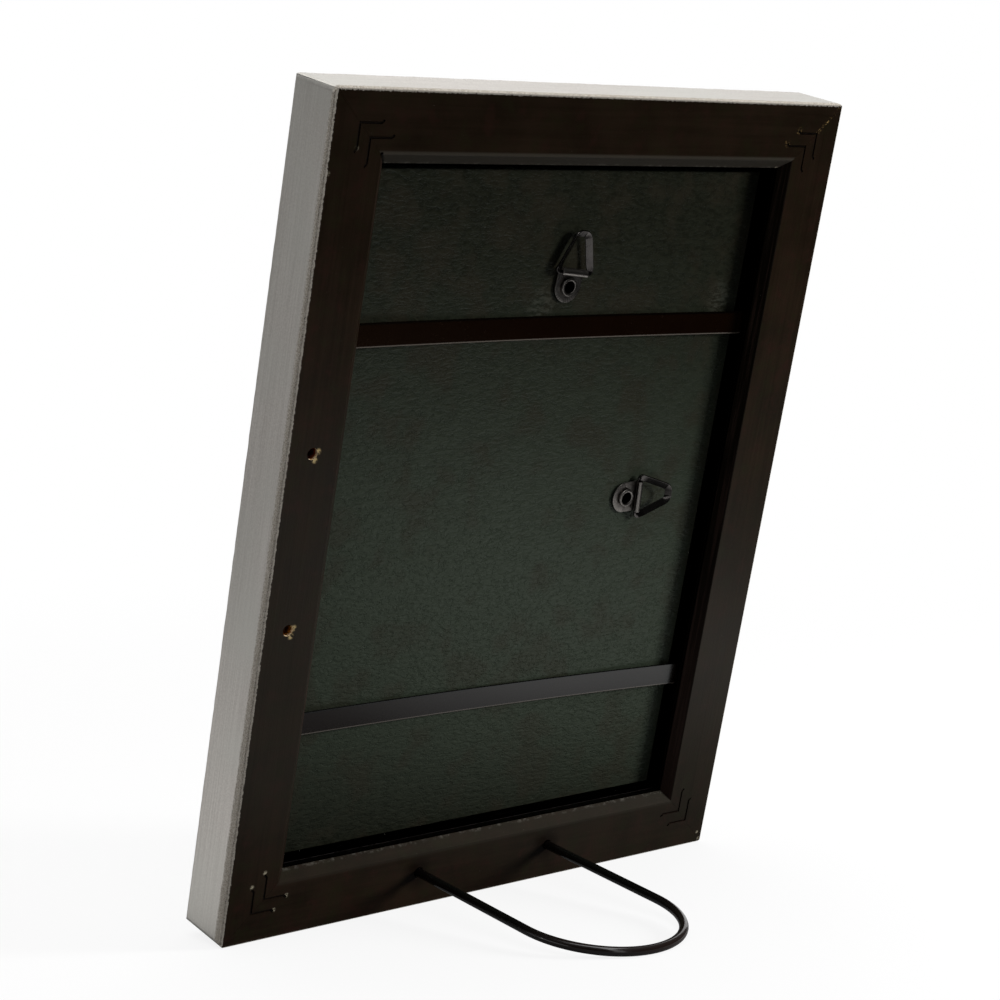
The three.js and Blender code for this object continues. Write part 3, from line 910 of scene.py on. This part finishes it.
def strip_paint(name, gloss, tint):
    strip = Finish(name, {"Specular IOR Level": gloss, "Specular Tint": tint})
    across, _, up = strip.axes()
    streak = strip.grain((14, 3, 0.5), 4)
    cloud = strip.grain(12, 3)
    rub = strip.fade(strip.grain(0.8, 4, 0.7), 0.66, 0.74)
    strip.colour = strip.blend(cloud, tone(6, 1, 0), tone(12, 4, 1))
    strip.coat(rub * 0.2, tone(70, 62, 55))
    for which, tilt in strip_tilts.items():
        low, high = measure("spring_strip_" + which)
        edge = up - across * tan(tilt) - ((low.z + high.z - strip_width) / 2 / mm)
        # Painted highlight along each strip's lower edge, then painted shade along its upper edge.
        strip.coat(strip.fade(abs(edge), 0.5, 0.25) * 0.55, tone(104, 98, 92))
        strip.coat(strip.fade(abs(edge - strip_width / mm), 0.7, 0.3), tone(1, 0, 0))
    strip.show("Base Color", strip.colour)
    strip.show("Roughness", streak * 0.05 + rub * 0.15 + 0.23)
    strip.relief(strip.grain(0.5, 3), 0.005)
    return strip.material


strip_finishes = {"upper": strip_paint("brown strip paint", 0.36, (1, 0.7, 0.4, 1)),
                  "lower": strip_paint("black strip paint", 0.7, (0.97, 1, 1, 1))}
print("strip paints", list(strip_finishes))

# %% The two strips
for name, tilt in strip_tilts.items():
    node = "spring_strip_" + name
    low, high = measure(node)
    half = high.x
    rise = high.y - low.y - strip_thickness
    radius = (half * half + rise * rise) / (2 * rise)
    spread = asin(half / radius)
    hoop = radius + strip_thickness / 2
    strip = begin_flat(name + "_strip_steel")
    trace([(-half, rise, -strip_width / 2), (-half, rise, strip_width / 2)], closed=False)
    bpy.ops.mesh.spin(steps=strip_steps, angle=-2 * spread, center=(0, hoop, 0), axis=(0, 0, 1))
    modify(strip, "SOLIDIFY", thickness=strip_thickness, offset=0)
    modify(strip, "BEVEL", width=strip_edge, segments=3, limit_method="ANGLE")
    strip.data.materials.append(strip_finishes[name])
    middle = Vector((0, low.y + strip_thickness / 2, (low.z + high.z) / 2))
    settle(strip, lean @ Matrix.Translation(middle) @ Matrix.Rotation(-tilt, 4, "Y"),
           name + "_strip", node, smooth=35)

# %% [markdown]
# Wire stand
#
# The stand is one length of black wire, bent to a U and pushed into two holes of the bottom rail. A
# curve is the natural way to draw a bent wire: straight legs, and two quarter ellipses for the loop.
# It becomes a mesh before its cut ends are rounded over.

# %% Glossy black on the wire
def wire_black(name):
    black = Finish(name, {"Specular IOR Level": 0.4, "Coat Roughness": 0.06})
    _, out, _ = black.axes()
    peel = black.grain(1.4, 2)
    dust = black.fade(black.grain(0.35, 2), 0.68, 0.76)
    black.colour = black.blend(peel, tone(3, 2, 2), tone(7, 5, 5))
    # Painted sheen: the far end of the wire is painted browner and lighter than the legs.
    black.coat(black.fade(out, 38, 58), tone(25, 18, 16))
    black.coat(dust * 0.15, tone(70, 66, 60))
    black.show("Base Color", black.colour)
    black.show("Roughness", peel * 0.1 + dust * 0.2 + 0.16)
    black.show("Coat Weight", (1 - dust) * 0.5)
    black.relief(peel, 0.02)
    return black.material


wire_finish = wire_black("wire black")
print("wire black ready")

# %% The bent wire
wire_leg = 44.5 * mm
wire_loop = 24.8 * mm
wire_insertion = 10.5 * mm
wire_end_round = 0.35 * mm
roundness = 4 / 3 * (2 ** 0.5 - 1)
leg_side = wire_spacing / 2 * mm
bends = [((-leg_side, -wire_insertion), None), ((-leg_side, wire_leg), (0, wire_loop)),
         ((0, wire_leg + wire_loop), (leg_side, 0)), ((leg_side, wire_leg), (0, -wire_loop)),
         ((leg_side, -wire_insertion), None)]


def at_end(points):
    """A test for points at the cut ends of the wire."""
    return all(point.y < mm / 100 - wire_insertion for point in points)


bpy.ops.object.select_all(action="DESELECT")
bpy.ops.curve.primitive_bezier_curve_add()
wire = bpy.context.object
wire.name = "bent_wire_stand"
wire.data.bevel_depth = wire_diameter / 2 * mm
wire.data.bevel_resolution = 8
wire.data.resolution_u = 28
wire.data.use_fill_caps = True
route = wire.data.splines[0].bezier_points
route.add(len(bends) - 2)
for point, ((x, y), heading) in zip(route, bends):
    point.co = (x, y, 0)
    point.handle_left_type = point.handle_right_type = "FREE" if heading else "VECTOR"
    if heading:
        pull = Vector((*heading, 0)) * roundness
        point.handle_left = point.co - pull
        point.handle_right = point.co + pull
for end, leg in ((route[1], "handle_left"), (route[3], "handle_right")):
    setattr(end, leg, end.co - Vector((0, wire_leg / 3, 0)))
bpy.ops.object.convert(target="MESH")
bpy.ops.object.mode_set(mode="EDIT")
bpy.ops.mesh.select_all(action="SELECT")
bpy.ops.mesh.remove_doubles(threshold=weld_distance)
pick("FACE", at_end)
bpy.ops.mesh.dissolve_faces()
ends = pick("EDGE", at_end)
bpy.ops.mesh.bevel(offset=wire_end_round, segments=3)
bpy.ops.object.mode_set(mode="OBJECT")
wire.data.materials.clear()
wire.data.materials.append(wire_finish)
wire_place = Matrix.Translation((0, 0, wire_hole_inset * mm)) @ Matrix.Rotation(wire_tilt, 4, "X")
print("wire ends", ends, "edges rounded")
settle(wire, lean @ wire_place, "stand", "wire_stand")

# %% [markdown]
# Hangers
#
# Each hanger is a hollow rivet, a plate that is curled round a ring, and the ring. The rivet is a
# profile spun about its axis. The plate is a traced outline whose straight edge is spun about the
# ring's bar to make the curl. The ring is a flat strip of steel that leans inwards like a funnel, so it
# is bridged between a high outer outline and a low inner one.

# %% Sizes of the hangers
sheet = 0.4 * mm
seat = 0.3 * mm
plate_radius = 4.3 * mm
plate_edge = 0.12 * mm
curl_width = 8.7 * mm
curl_radius = 1.15 * mm
curl_distance = 2.75 * mm
curl_gap = 0.35 * mm
bar_height = seat + curl_radius
bar_distance = curl_distance + curl_radius
eyelet_bore = 1.55
eyelet_barrel = 2.0
eyelet_flange = 2.5
eyelet_roll = 0.6
eyelet_hole = 2.25 * mm
board_thickness = 2.5
hangers = {"top": {"turn": radians(-6.3), "lift": radians(1)},
           "side": {"turn": radians(-86.6), "lift": radians(7)}}
for name, hanger in hangers.items():
    pivot = lean.inverted() @ Vector(joints[name + "_strap_swivel"]["pos_m"])
    pivot.y = -board_top * mm
    hanger["pivot"] = pivot
    hanger["place"] = lean @ Matrix.Translation(pivot) @ Matrix.Rotation(hanger["turn"], 4, "Y")
    print(name, "hanger at", [round(x / mm, 2) for x in pivot])

# %% Black nickel on the hangers
def black_nickel(name, deep, pale, rough):
    nickel = Finish(name, {"Metallic": 1.0})
    flat = nickel.node("VectorMath", {"operation": "MULTIPLY"}, {0: nickel.place, 1: (1, 0, 1)})
    cloud = nickel.grain(3, 3)
    fine = nickel.grain(0.3, 3)
    pit = nickel.fade(fine, 0.62, 0.7)
    nickel.colour = nickel.blend(cloud, deep, pale)
    nickel.coat(pit * 0.6, tone(52, 46, 42))
    for hanger in hangers.values():
        axle = (hanger["pivot"].x / mm, 0, hanger["pivot"].z / mm)
        # Painted shade: the bore of each eyelet is painted nearly black.
        bore_shade = nickel.fade(nickel.distance(flat, axle), eyelet_bore + 0.25, eyelet_bore)
        nickel.coat(bore_shade, tone(8, 4, 4))
    nickel.show("Base Color", nickel.colour)
    nickel.show("Roughness", cloud * 0.1 + pit * 0.15 + rough)
    nickel.relief(fine + cloud * 0.5, 0.02)
    return nickel.material


plate_finish = black_nickel("dull black nickel", tone(122, 118, 114), tone(168, 163, 158), 0.3)
ring_finish = black_nickel("bright black nickel", tone(64, 61, 60), tone(98, 95, 93), 0.08)
print("nickels", plate_finish.name, ring_finish.name)

# %% The eyelets
eyelet_steps = 48
under = (2 * seat + sheet) / mm
far_end = eyelet_roll - board_thickness
eyelet_corners = [
    (eyelet_bore, far_end - eyelet_roll, 0.2),
    (eyelet_flange, far_end - eyelet_roll, 0.28),
    (eyelet_flange, far_end, 0.28),
    (eyelet_barrel, far_end, 0),
    (eyelet_barrel, under, 0),
    (eyelet_flange, under, 0.28),
    (eyelet_flange, under + eyelet_roll, 0.28),
    (eyelet_bore, under + eyelet_roll, 0.4),
]
eyelet_profile = [(radius * mm, height * mm, 0) for radius, height in rounded(eyelet_corners, 5)]
for name, hanger in hangers.items():
    eyelet = begin_flat(name + "_hanger_eyelet")
    trace(eyelet_profile)
    bpy.ops.mesh.spin(steps=eyelet_steps, angle=2 * pi, center=(0, 0, 0), axis=(0, 1, 0))
    face_outwards(weld=True)
    eyelet.data.materials.append(plate_finish)
    settle(eyelet, hanger["place"], "frame", "eyelet_" + name, smooth=40)

# %% The plates
sheet_middle = seat + sheet / 2
bend = curl_radius - sheet / 2
curl_turn = 1.5 * pi - (sheet + curl_gap) / bend
curl_steps = 20
plate_steps = 32
half = curl_width / 2


def round_outline(radius, angles):
    """Points of a circle about the eyelet, in the middle of the sheet."""
    return [(radius * cos(angle), sheet_middle, radius * sin(angle)) for angle in angles]


plate_outline = round_outline(plate_radius, [pi + pi * k / plate_steps for k in range(plate_steps + 1)])
plate_outline += [(half, sheet_middle, bar_distance), (-half, sheet_middle, bar_distance)]
hole_outline = round_outline(eyelet_hole, [2 * pi * k / plate_steps for k in range(plate_steps)])
for name, hanger in hangers.items():
    plate = begin_flat(name + "_hanger_plate")
    trace(plate_outline)
    bpy.ops.mesh.select_all(action="DESELECT")
    bpy.ops.mesh.primitive_plane_add(size=mm)
    trace(hole_outline)
    bpy.ops.mesh.select_all(action="SELECT")
    bpy.ops.mesh.fill()
    pick("EDGE", lambda points: all(point.z > bar_distance - mm / 100 for point in points))
    bpy.ops.mesh.spin(steps=curl_steps, angle=curl_turn, center=(0, bar_height, bar_distance),
                      axis=(1, 0, 0))
    face_outwards(weld=True)
    modify(plate, "SOLIDIFY", thickness=sheet, offset=0)
    modify(plate, "BEVEL", width=plate_edge, segments=2, limit_method="ANGLE")
    plate.data.materials.append(plate_finish)
    settle(plate, hanger["place"], name + "_strap", "hanger_strap_" + name, smooth=35)

# %% The rings
ring_base = 4.6
ring_tip = 0.5
ring_length = 10.4
base_round = 0.8
tip_round = 1.9
band_half = 0.85
bar_half = 0.5
ring_lean = 0.5
lean_reach = 2.5
ring_thickness = 0.55 * mm
ring_edge = 0.1 * mm
least_round = 0.3
leg_steps = 10


def ring_outline(offset):
    """The ring's outline at an offset from its middle line, with a height that leans the strip."""
    bar = bar_half * offset
    band = band_half * offset
    apart = Vector((ring_tip - ring_base, ring_length - tip_round - base_round))
    slope = apart.angle_signed(Vector((1, 0))) - pi / 2 - asin((tip_round - base_round) / apart.length)
    facing = Vector((cos(slope), sin(slope)))
    edge = facing.dot(Vector((ring_base, base_round))) + base_round + band
    low, high = -bar, ring_length + band
    wide, narrow = [(edge - facing.y * y) / facing.x for y in (low, high)]
    low_round = max(base_round + bar, least_round)
    high_round = tip_round + band
    corners = [(wide, low, low_round), (narrow, high, high_round),
               (-narrow, high, high_round), (-wide, low, low_round)]
    points = rounded(corners, 8)
    outline = []
    for before, after in zip(points, points[1:] + points[:1]):
        steps = leg_steps if (after - before).length > ring_length / 3 else 1
        for k in range(steps):
            spot = before.lerp(after, k / steps)
            lift = min(max(spot.y / lean_reach, 0), 1)
            height = ring_lean * offset * lift * lift * (3 - 2 * lift)
            outline.append((spot.x * mm, height * mm, spot.y * mm))
    return outline


for name, hanger in hangers.items():
    ring = begin_flat(name + "_hanger_ring")
    trace(ring_outline(1))
    bpy.ops.mesh.select_all(action="DESELECT")
    bpy.ops.mesh.primitive_plane_add(size=mm)
    trace(ring_outline(-1))
    bpy.ops.mesh.select_all(action="SELECT")
    bpy.ops.mesh.bridge_edge_loops()
    face_outwards()
    modify(ring, "SOLIDIFY", thickness=ring_thickness, offset=0)
    modify(ring, "BEVEL", width=ring_edge, segments=2, limit_method="ANGLE", angle_limit=radians(50))
    ring.data.materials.append(ring_finish)
    bar = Matrix.Translation((0, bar_height, bar_distance)) @ Matrix.Rotation(-hanger["lift"], 4, "X")
    settle(ring, hanger["place"] @ bar, name + "_ring", "hanger_ring_" + name, smooth=40)

# %% [markdown]
# Board, nails, glass and card
#
# These keep their solids. The board is dark green hardboard with a leathery emboss, the nails are thin
# dark steel, the glass is clear with faint smears, and the card behind it is left bare.

# %% Embossed board
board_height = measure("backing_board")[1].z / mm
board_scuffs = [(5.6, -board_top, 164.3), (-58.8, -board_top, 164.8)]


def embossed_board(name):
    board = Finish(name, {"Specular IOR Level": 0.3, "Specular Tint": (0.84, 1.0, 0.84, 1)})
    across, _, up = board.axes()
    ripple = board.grain((2.4, 1, 0.9), 3, 0.55, 0.5)
    vein = board.fade(abs(board.grain(2.4, 3, 0.6) - 0.5), 0.04, 0.0)
    crease = vein * board.fade(ripple, 0.6, 0.4)
    patch = board.grain(11, 3)
    lower = board.fade(up + patch * 40, 210, 100) * board.fade(up - across * 0.15, 10, 50)
    scuffs = board.spots(board_scuffs, 6) * board.fade(ripple, 0.4, 0.65)
    speck = board.fade(board.grain(0.6, 2), 0.77, 0.83)
    painted_top_shadow = board.fade(up, board_height - 1.1, board_height - 0.5)
    board.colour = board.blend(board.fade(ripple, 0.3, 0.7), tone(18, 19, 13), tone(27, 28, 21))
    # Painted sheen: the lower part of the board is painted lighter and greener, fading out again at the
    # foot.
    board.coat(lower * 0.5, tone(52, 60, 50))
    board.coat(board.fade(patch, 0.48, 0.66) * 0.4, tone(36, 31, 24))
    # Painted shade: the creases of the emboss are painted a little darker.
    board.coat(crease * 0.08, tone(10, 12, 9))
    board.coat(scuffs * 0.14, tone(92, 94, 86))
    board.coat(speck * 0.5, tone(140, 146, 140))
    # Painted shadow of the top rail: a black band along the board's top edge, whose sheen Metallic takes
    # away.
    board.coat(painted_top_shadow * 0.95, tone(2, 2, 1))
    board.show("Base Color", board.colour)
    board.show("Metallic", painted_top_shadow)
    board.show("Roughness", ripple * 0.2 + 0.26)
    board.relief(ripple - crease * 0.2, 0.25)
    return board.material


def nail_steel(name):
    steel = Finish(name, {"Metallic": 0.8})
    rust = steel.grain(0.8, 3)
    steel.show("Base Color", steel.blend(rust, tone(16, 13, 12), tone(44, 36, 30)))
    steel.show("Roughness", rust * 0.3 + 0.4)
    return steel.material


def clear_glass(name):
    glass = Finish(name, {"Transmission Weight": 1.0, "IOR": 1.5, "Base Color": (0.992, 0.996, 0.994, 1)})
    smear = glass.grain((18, 18, 6), 3)
    glass.show("Roughness", glass.fade(smear, 0.5, 0.8) * 0.05 + 0.01)
    return glass.material


def bare_card(name):
    card = Finish(name, {"Specular IOR Level": 0.2})
    fibre = card.grain(0.5, 4, 0.7)
    cloud = card.grain(30, 2)
    shade = card.blend(fibre * 0.5 + cloud * 0.5, tone(232, 228, 219), tone(245, 243, 238))
    card.show("Base Color", shade)
    card.show("Roughness", fibre * 0.15 + 0.8)
    card.relief(fibre, 0.04)
    return card.material


def dress(node, finish):
    """Gives a solid its finish."""
    solid = frame["nodes"][node]
    solid.data.materials.clear()
    solid.data.materials.append(finish)


dress("backing_board", embossed_board("embossed board"))
dress("glass_pane", clear_glass("clear glass"))
dress("picture_insert", bare_card("bare card"))
nail_finish = nail_steel("nail steel")
for node in frame["nodes"]:
    if node.startswith("v_nail"):
        dress(node, nail_finish)
print("solids dressed", [node for node in frame["nodes"] if not frame["nodes"][node].hide_render])
